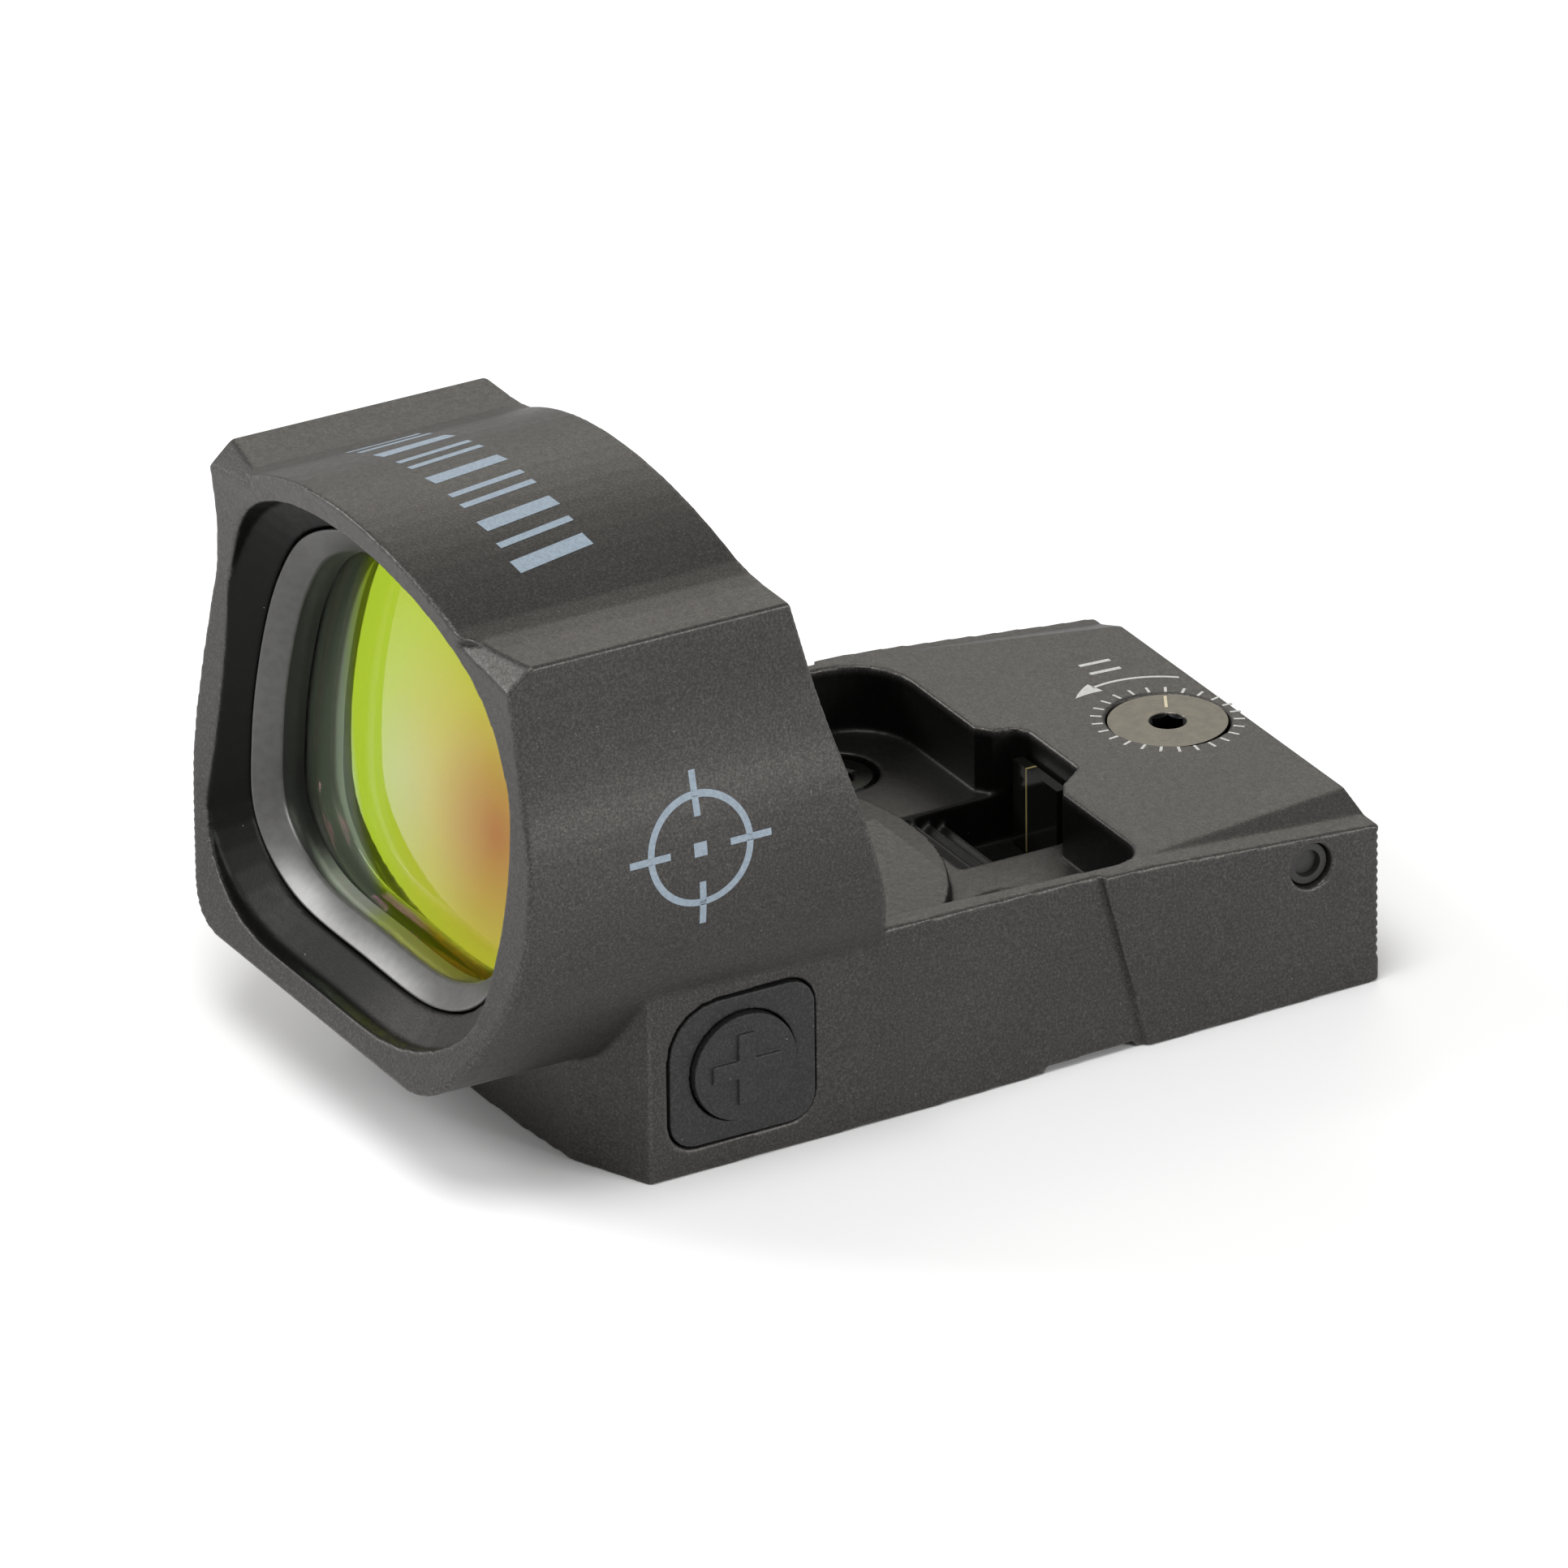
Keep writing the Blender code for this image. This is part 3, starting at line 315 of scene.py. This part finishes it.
# ---- shape of the housing that the skin, the lens and the print follow --------------------
MOUTH_GUIDE = [(0.0, 4.6), (6.8, 4.85), (11.05, 7.05), (12.3, 10.8), (12.4, 15.2), (11.6, 19.2),
               (9.6, 22.2), (5.4, 24.1), (0.0, 24.75)]
MOUTH_Z = 14.6
MOUTH_HALF_X = 12.4
MOUTH_HALF_Z = 9.8
LENS_TILT = math.atan(0.15)
LENS_CENTRE = (0.0, -16.7, 15.0)
LENS_TURN = (Matrix.Translation(LENS_CENTRE)
             @ Matrix.Rotation(math.pi / 2 - LENS_TILT, 4, 'X'))
LENS_TURN_INVERSE = LENS_TURN.inverted()
LENS_INSET = 1.45
DOME_R = 400.0
DECK_REAR_Z = 7.83
DECK_SLOPE = 0.04
REAR_Y = 22.2
DIAL = Vector((0.0, 19.0))
DIAL_FACE_Z = 7.898
DIAL_TICKS = 25
INDEX_ANGLE = 152
PRINT_LIFT = 0.012
PRINT_SINK = 0.05


# ---- finer skins --------------------------------------------------------------------------
def new_object(name, mesh, body=BODY):
    obj = bpy.data.objects.new(name, mesh)
    bpy.context.scene.collection.objects.link(obj)
    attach(obj, body)
    return obj


def mesh_from(name, bm, smooth=True):
    """Turns a bmesh drawn in millimetres into a mesh in metres."""
    bmesh.ops.scale(bm, vec=(MM, MM, MM), verts=bm.verts)
    bmesh.ops.recalc_face_normals(bm, faces=bm.faces)
    mesh = bpy.data.meshes.new(name)
    bm.to_mesh(mesh)
    bm.free()
    for polygon in mesh.polygons:
        polygon.use_smooth = smooth
    return mesh


def soft_skin(node, voxel, passes):
    """Remeshes a CAD node finely and relaxes it, so machined edges get their small radius."""
    bm = bmesh.new()
    bm.from_mesh(NODES[node].data)
    bmesh.ops.scale(bm, vec=(1 / MM, 1 / MM, 1 / MM), verts=bm.verts)
    bmesh.ops.remove_doubles(bm, verts=bm.verts, dist=0.0005)
    mesh = bpy.data.meshes.new(node + "_source")
    bm.to_mesh(mesh)
    bm.free()
    obj = bpy.data.objects.new(node + "_source", mesh)
    bpy.context.scene.collection.objects.link(obj)
    remesh = obj.modifiers.new("remesh", 'REMESH')
    remesh.mode = 'VOXEL'
    remesh.voxel_size = voxel
    relax = obj.modifiers.new("relax", 'SMOOTH')
    relax.factor = 0.5
    relax.iterations = passes
    depsgraph = bpy.context.evaluated_depsgraph_get()
    fine = bpy.data.meshes.new_from_object(obj.evaluated_get(depsgraph))
    bpy.data.objects.remove(obj, do_unlink=True)
    fine.transform(Matrix.Scale(MM, 4))
    low, high = (Vector(corner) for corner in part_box(node))
    for vertex in fine.vertices:
        vertex.co = Vector(map(min, high, map(max, low, vertex.co)))
    for polygon in fine.polygons:
        polygon.use_smooth = True
    fine.name = node + "_skin"
    return fine


def ease(value, low, high):
    """Smooth step from 0 at low to 1 at high."""
    share = min(1.0, max(0.0, (value - low) / (high - low)))
    return share * share * (3 - 2 * share)


def dye_and_shade_depth(spot, normal):
    """How dark the anodising is made: the mouth wall is dyed black, faded towards +x as painted
    light, and the recess gets painted shade.
    """
    x, y, z = spot
    # Mouth wall: dyed black where it faces inward, less so towards +x as painted light.
    if y < -14.0:
        if (x / MOUTH_HALF_X) ** 2 + ((z - MOUTH_Z) / MOUTH_HALF_Z) ** 2 > 1.6:
            return 0.0
        out = Vector((x / MOUTH_HALF_X ** 2, 0.0, (z - MOUTH_Z) / MOUTH_HALF_Z ** 2)).normalized()
        deep = (LENS_TURN_INVERSE @ spot).z < 3.0
        inward = ease(-normal.dot(out), *((0.1, 0.35) if deep else (0.45, 0.75)))
        return inward * (1.0 - 0.7 * ease(x, 0.0, 8.0))
    # Recess: painted shade below the deck. It is lighter on the raised platform and darkest in the
    # emitter slot and on the walls. It also darkens towards the far -x wall as that wall's painted
    # shadow.
    outer_face = abs(x) > 10.6 and normal.x * x > 0.0
    if abs(x) < 11.8 and -8.0 < y < 13.4 and z > 2.5 and not outer_face:
        sunk = ease(DECK_REAR_Z + DECK_SLOPE * (REAR_Y - y) - z, 0.1, 0.45)
        if x > -1.5 and y < 5.6:
            return 0.05 * sunk
        if y > 6.9 and -2.4 < x < 3.2:
            return 0.88 * sunk
        return sunk * (0.3 + 0.5 * ease(-x, -6.0, 4.0) if normal.z > 0.5 else 0.95)
    return 0.0


def edge_bend(mesh, voxel):
    """How the skin bends at each vertex: 0 in an inner corner, 0.5 on a flat, 1 on an edge."""
    count = len(mesh.vertices)
    spots, normals = np.empty(count * 3), np.empty(count * 3)
    mesh.vertices.foreach_get("co", spots)
    mesh.vertices.foreach_get("normal", normals)
    spots, normals = spots.reshape(-1, 3), normals.reshape(-1, 3)
    ends = np.empty(len(mesh.edges) * 2, dtype=np.int32)
    mesh.edges.foreach_get("vertices", ends)
    near, far = ends.reshape(-1, 2).T
    near, far = np.concatenate((near, far)), np.concatenate((far, near))
    hits = np.maximum(np.bincount(near, minlength=count), 1)
    around = [np.bincount(near, spots[far, k], count) / hits for k in range(3)]
    rise = ((np.array(around).T - spots) * normals).sum(axis=1) / (voxel * MM)
    return np.clip(0.5 - 4.0 * rise, 0.0, 1.0)


def reskin(node, voxel, passes, material, body=BODY):
    """Shows a finer skin in the node's place, with its bend stored for the shader."""
    voxel *= 1.0
    mesh = soft_skin(node, voxel, passes)
    mesh.attributes.new(BEND, 'FLOAT', 'POINT').data.foreach_set("value", edge_bend(mesh, voxel))
    skin = new_object(node + "_skin", mesh, body)
    mesh.materials.clear()
    mesh.materials.append(material)
    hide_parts(node)
    return skin


def build_skins():
    housing = reskin("housing", 0.1, 5, HOUSING_MAT)
    mesh = housing.data
    # Per vertex: black dye on the mouth wall and painted shade in the recess.
    dye_and_shade = mesh.attributes.new(DYE_AND_SHADE, 'FLOAT', 'POINT')
    dye_and_shade.data.foreach_set("value", [dye_and_shade_depth(v.co / MM, v.normal) for v in mesh.vertices])
    for sign in ("plus", "minus"):
        reskin(sign + "_pad", 0.06, 3, RUBBER_MAT)
        reskin(sign + "_button", 0.04, 1, RUBBER_MAT, sign + "_key")
    return housing


# ---- optics -------------------------------------------------------------------------------
def mouth_outline(steps=10):
    """Closed smooth outline of the mouth, drawn through its guide points."""
    points = MOUTH_GUIDE + [(-x, z) for x, z in reversed(MOUTH_GUIDE[1:-1])]
    count = len(points)
    loop = []
    for i in range(count):
        a, b, c, d = (Vector(points[(i + k) % count]) for k in (-1, 0, 1, 2))
        for j in range(steps):
            t = j / steps
            loop.append(0.5 * (2 * b + (c - a) * t + (2 * a - 5 * b + 4 * c - d) * t * t
                               + (3 * b - a - 3 * c + d) * t ** 3))
    return loop


def inset(loop, distance):
    """Outline drawn in about its middle by a distance on each side."""
    heights = [p.y for p in loop]
    half_x = max(p.x for p in loop)
    half_y = (max(heights) - min(heights)) / 2
    middle = min(heights) + half_y
    return [Vector((p.x * (1 - distance / half_x),
                    middle + (p.y - middle) * (1 - distance / half_y))) for p in loop]


def add_loop(bm, outline, station):
    """One loop of vertices at each point's own station on the lens axis."""
    return [bm.verts.new((p.x, p.y - MOUTH_Z, station(p))) for p in outline]


def bridge(bm, first, second, material=0):
    """Band of faces between two loops of the same length."""
    for i in range(len(first)):
        j = (i + 1) % len(first)
        face = bm.faces.new((first[i], first[j], second[j], second[i]))
        face.material_index = material


def place_lens(bm):
    bmesh.ops.transform(bm, matrix=LENS_TURN, verts=bm.verts)


def dome(bm, outline, top, radius, material, rings=14):
    """Spherical lens face built from shrinking outlines. Returns its edge loop."""
    def station_at(share):
        def station(p):
            return top - (p.x ** 2 + (p.y - MOUTH_Z) ** 2) / (2 * radius)
        return add_loop(bm, [Vector((p.x * share, MOUTH_Z + (p.y - MOUTH_Z) * share))
                             for p in outline], station)

    loops = [station_at(1 - k / rings) for k in range(rings)]
    for first, second in zip(loops, loops[1:]):
        bridge(bm, first, second, material)
    centre = bm.verts.new((0.0, 0.0, top))
    last = loops[-1]
    for i in range(len(last)):
        face = bm.faces.new((last[i], last[(i + 1) % len(last)], centre))
        face.material_index = material
    return loops[0]


def lens_element(name, node, front, back, materials):
    """Glass disc between two domed faces; each face and the ground edge has its own finish."""
    bm = bmesh.new()
    outline = inset(mouth_outline(), LENS_INSET)
    edge_front = dome(bm, outline, front, DOME_R, 0)
    edge_back = dome(bm, outline, back, DOME_R, 2)
    bridge(bm, edge_front, edge_back, 1)
    place_lens(bm)
    piece = new_object(name, mesh_from(name, bm))
    for material in materials:
        piece.data.materials.append(material)
    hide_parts(node)


def retaining_ring():
    """Ring that holds the lens: satin cone in front, black bore.
    Each profile point has its inset from the mouth, its station and the finish after it."""
    bm = bmesh.new()
    mouth = mouth_outline()
    profile = [(1.5, 0.1, 1), (1.3, 0.12, 1), (1.3, 1.62, 0), (1.35, 1.68, 0), (1.42, 1.64, 0),
               (2.22, 0.88, 0), (2.28, 0.8, 0), (2.3, 0.72, 1), (2.3, -0.3, 1), (1.5, -0.3, 1)]
    loops = [add_loop(bm, inset(mouth, depth), lambda p, w=w: w) for depth, w, _ in profile]
    for i, (_, _, material) in enumerate(profile):
        bridge(bm, loops[i], loops[(i + 1) % len(loops)], material)
    place_lens(bm)
    piece = new_object("retaining_ring", mesh_from("retaining_ring", bm))
    piece.data.materials.append(RING_MAT)
    piece.data.materials.append(BLACK_MAT)
    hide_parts("lens_adhesive_ring")


def coating(name, centre, reach, stops, alpha, metallic, haze=None):
    """Dichroic layer: a tinted mirror whose colour drifts away from a centre on the glass.
    Beyond the haze's distance from its own centre the layer turns to the haze colour."""
    s = Shader(name, stops[0][1], 0.02, metallic)

    def share(middle, distance):
        apart = s.nodes.new("ShaderNodeVectorMath")
        apart.operation = 'DISTANCE'
        s.set(apart, 0, s.coords)
        s.set(apart, 1, tuple(c * MM for c in middle))
        return s.math('DIVIDE', apart.outputs["Value"], distance * MM)

    colour = s.ramp(share(centre, reach), stops)
    if haze:
        middle, distance, tint = haze
        mask = s.ramp(share(middle, distance), [(0.93, (0.0,) * 3), (1.0, (1.0,) * 3)])
        colour = s.mix(mask, colour, tint)
    s.set(s.bsdf, "Base Color", colour)
    s.set(s.bsdf, "Alpha", alpha)
    return s.material


def clear_glass(name, colour, alpha):
    """Uncoated glass face, mostly see-through."""
    s = Shader(name, colour, 0.02, 0.0, 0.5)
    s.set(s.bsdf, "Alpha", alpha)
    return s.material


def build_lens():
    first = coating("first_coating", (6.0, -16.7, 14.0), 12.0,
                    [(0.0, (0.60, 0.24, 0.02)), (0.24, (0.70, 0.50, 0.02)),
                     (0.48, (0.76, 0.80, 0.012)), (0.85, (0.70, 1.0, 0.003))],
                    0.46, 0.88, ((6.0, -16.7, 18.0), 14.0, (0.80, 1.0, 0.68)))
    second = coating("second_coating", (-3.5, -16.7, 12.5), 10.0,
                     [(0.0, (0.52, 0.34, 0.92)), (0.4, (0.42, 0.22, 0.42)),
                      (0.8, (0.24, 0.10, 0.12)), (1.0, (0.20, 0.08, 0.10))],
                     0.8, 1.0)
    rear = clear_glass("rear_surface", (0.10, 0.14, 0.12), 0.12)
    lens_element("front_glass", "front_lens", -0.35, -1.1, (first, BLACK_MAT, second))
    lens_element("rear_glass", "rear_lens", -1.2, -3.35, (rear, BLACK_MAT, rear))
    retaining_ring()


# ---- printed marks ------------------------------------------------------------------------
def on_deck(u, v):
    """Point and normal on the sloping deck, for a place in plan."""
    return Vector((u, v, DECK_REAR_Z + DECK_SLOPE * (REAR_Y - v))), Vector((0.0, 0.0, 1.0))


def on_disc(u, v):
    """The same on the flat face of the dial."""
    return Vector((u, v, DIAL_FACE_Z)), Vector((0.0, 0.0, 1.0))


def caster(skin, origin, direction):
    """Lays 2-D points on the housing skin: origin(u, v) looks along direction."""
    bm = bmesh.new()
    bm.from_mesh(skin.data)
    tree = BVHTree.FromBMesh(bm)
    bm.free()
    aim = Vector(direction)

    def place(u, v):
        hit, normal, _, _ = tree.ray_cast(Vector(origin(u, v)) * MM, aim)
        return hit / MM, normal
    return place


def ribbon(bm, points, widths, place):
    """Closed strip of print along a 2-D line, of one width or of one width for each point."""
    if isinstance(widths, float):
        widths = [widths] * len(points)
    rows = []
    for i, (point, width) in enumerate(zip(points, widths)):
        ahead = points[min(i + 1, len(points) - 1)] - points[max(i - 1, 0)]
        side = Vector((-ahead.y, ahead.x)).normalized() * width / 2
        row = []
        for edge in (point + side, point - side):
            spot, normal = place(edge.x, edge.y)
            row.append(bm.verts.new(spot + normal * PRINT_LIFT))
            row.append(bm.verts.new(spot - normal * PRINT_SINK))
        rows.append((row[0], row[2], row[3], row[1]))
    for first, second in zip(rows, rows[1:]):
        for k in range(4):
            bm.faces.new((first[k], first[(k + 1) % 4], second[(k + 1) % 4], second[k]))
    bm.faces.new(rows[0])
    bm.faces.new(rows[-1][::-1])


def line(start, end, step=0.25):
    """Evenly spaced points from start to end."""
    start, end = Vector(start), Vector(end)
    count = max(1, round((end - start).length / step))
    return [start.lerp(end, i / count) for i in range(count + 1)]


def arc(centre, radius, start, end, step=4.0):
    """Points along an arc between two angles in degrees."""
    count = max(2, round(abs(end - start) / step))
    angles = (math.radians(start + (end - start) * i / count) for i in range(count + 1))
    return [Vector(centre) + radius * Vector((math.cos(a), math.sin(a))) for a in angles]


def print_piece(name, bm, material, body=BODY):
    piece = new_object(name, mesh_from(name, bm, smooth=False), body)
    piece.data.materials.append(material)


def dial_marks():
    """Graduations, turning arrow and bars on the deck, and the index on the dial's own face."""
    bm = bmesh.new()
    for i in range(DIAL_TICKS):
        angle = 2 * math.pi * (i + 0.5) / DIAL_TICKS
        ray = Vector((math.cos(angle), math.sin(angle)))
        ribbon(bm, line(DIAL + 2.80 * ray, DIAL + 3.28 * ray), 0.12, on_deck)
    ribbon(bm, arc(DIAL, 4.35, 143.0, 196.0), 0.15, on_deck)
    head = arc(DIAL, 4.3, 195.0, 214.0)
    ribbon(bm, head, [0.85 * (1 - i / (len(head) - 1)) + 0.02 for i in range(len(head))],
           on_deck)
    for x in (-6.35, -5.45):
        ribbon(bm, line((x, 18.4), (x, 19.9)), 0.22, on_deck)
    print_piece("dial_print", bm, PRINT_MAT)
    index = bmesh.new()
    angle = math.radians(INDEX_ANGLE)
    ray = Vector((math.cos(angle), math.sin(angle)))
    ribbon(index, line(DIAL + 1.3 * ray, DIAL + 2.4 * ray), 0.13, on_disc)
    print_piece("dial_index", index, INDEX_MAT, "elevation_knob")


WIDE_BAR, WIDE_BARS_X = 0.75, (6.1, 3.3, -1.1, -5.6)
THIN_BAR, THIN_BARS_X = 0.35, (4.7, 1.6, 0.6, -2.9, -3.9, -7.3, -8.3)
AIM_CENTRE = Vector((-11.4, 15.4))
AIM_RADIUS = 2.3
AIM_LINE = 0.3


def generic_marks(skin):
    """Plain bars on the arch and a plain aiming ring on the side, in place of any lettering."""
    on_arch = caster(skin, lambda u, v: (u, v, 40.0), (0.0, 0.0, -1.0))
    bm = bmesh.new()
    for width, places in ((WIDE_BAR, WIDE_BARS_X), (THIN_BAR, THIN_BARS_X)):
        for x in places:
            ribbon(bm, line((x + 0.3, -15.6), (x - 0.3, -11.9)), width, on_arch)
    print_piece("arch_bars", bm, MARK_MAT)
    on_side = caster(skin, lambda u, v: (30.0, u, v), (-1.0, 0.0, 0.0))
    bm = bmesh.new()
    ring = arc(AIM_CENTRE, AIM_RADIUS, 0.0, 356.0)
    ribbon(bm, ring + [ring[0]], AIM_LINE, on_side)
    for angle in (0, 90, 180, 270):
        ray = Vector((math.cos(math.radians(angle)), math.sin(math.radians(angle))))
        start, end = AIM_RADIUS - 0.9, AIM_RADIUS + 1.0
        ribbon(bm, line(AIM_CENTRE + start * ray, AIM_CENTRE + end * ray), AIM_LINE, on_side)
    dot = Vector((AIM_LINE, 0.0))
    ribbon(bm, line(AIM_CENTRE - dot, AIM_CENTRE + dot), 2 * AIM_LINE, on_side)
    print_piece("side_mark", bm, MARK_MAT)


housing_skin = build_skins()
build_lens()
dial_marks()
generic_marks(housing_skin)


# ---- stage and light --------------------------------------------------------------------
def add_stage():
    bm = bmesh.new()
    bmesh.ops.create_grid(bm, x_segments=1, y_segments=1, size=3.0)
    mesh = bpy.data.meshes.new("floor")
    bm.to_mesh(mesh)
    bm.free()
    floor = bpy.data.objects.new("floor", mesh)
    floor.location.z = -0.00002
    bpy.context.scene.collection.objects.link(floor)
    mesh.materials.append(Shader("pale_floor", (0.86, 0.86, 0.86), 0.9, 0.0, 0.2).material)


WORLD_STRENGTH = 0.42
LAMP_TARGET = Vector((0.0, 0.0, 0.01))


def add_area(name, location, size, watts, colour=(1.0, 1.0, 1.0)):
    """Soft rectangular lamp, turned to face the object."""
    data = bpy.data.lights.new(name, 'AREA')
    data.shape = 'RECTANGLE'
    data.size, data.size_y = size
    data.energy = watts
    data.color = colour
    lamp = bpy.data.objects.new(name, data)
    lamp.location = location
    aim = LAMP_TARGET - Vector(location)
    lamp.rotation_euler = aim.to_track_quat('-Z', 'Y').to_euler()
    bpy.context.scene.collection.objects.link(lamp)


def add_lights():
    world = bpy.data.worlds.new("studio")
    world.use_nodes = True
    background = world.node_tree.nodes["Background"]
    background.inputs["Color"].default_value = (1.0, 1.0, 1.0, 1.0)
    background.inputs["Strength"].default_value = WORLD_STRENGTH
    bpy.context.scene.world = world
    add_area("overhead", (0.12, -0.19, 0.70), (0.35, 0.35), 3.3)
    add_area("front_left", (-0.50, -0.44, 0.36), (0.30, 0.30), 3.5)
    add_area("back_left", (-0.60, 0.36, 0.40), (0.45, 0.30), 0.95, (1.0, 0.96, 0.87))
    add_area("back_right", (0.64, 0.36, 0.24), (0.30, 0.20), 2.9)


add_stage()
add_lights()
bpy.context.scene.view_settings.view_transform = 'Standard'
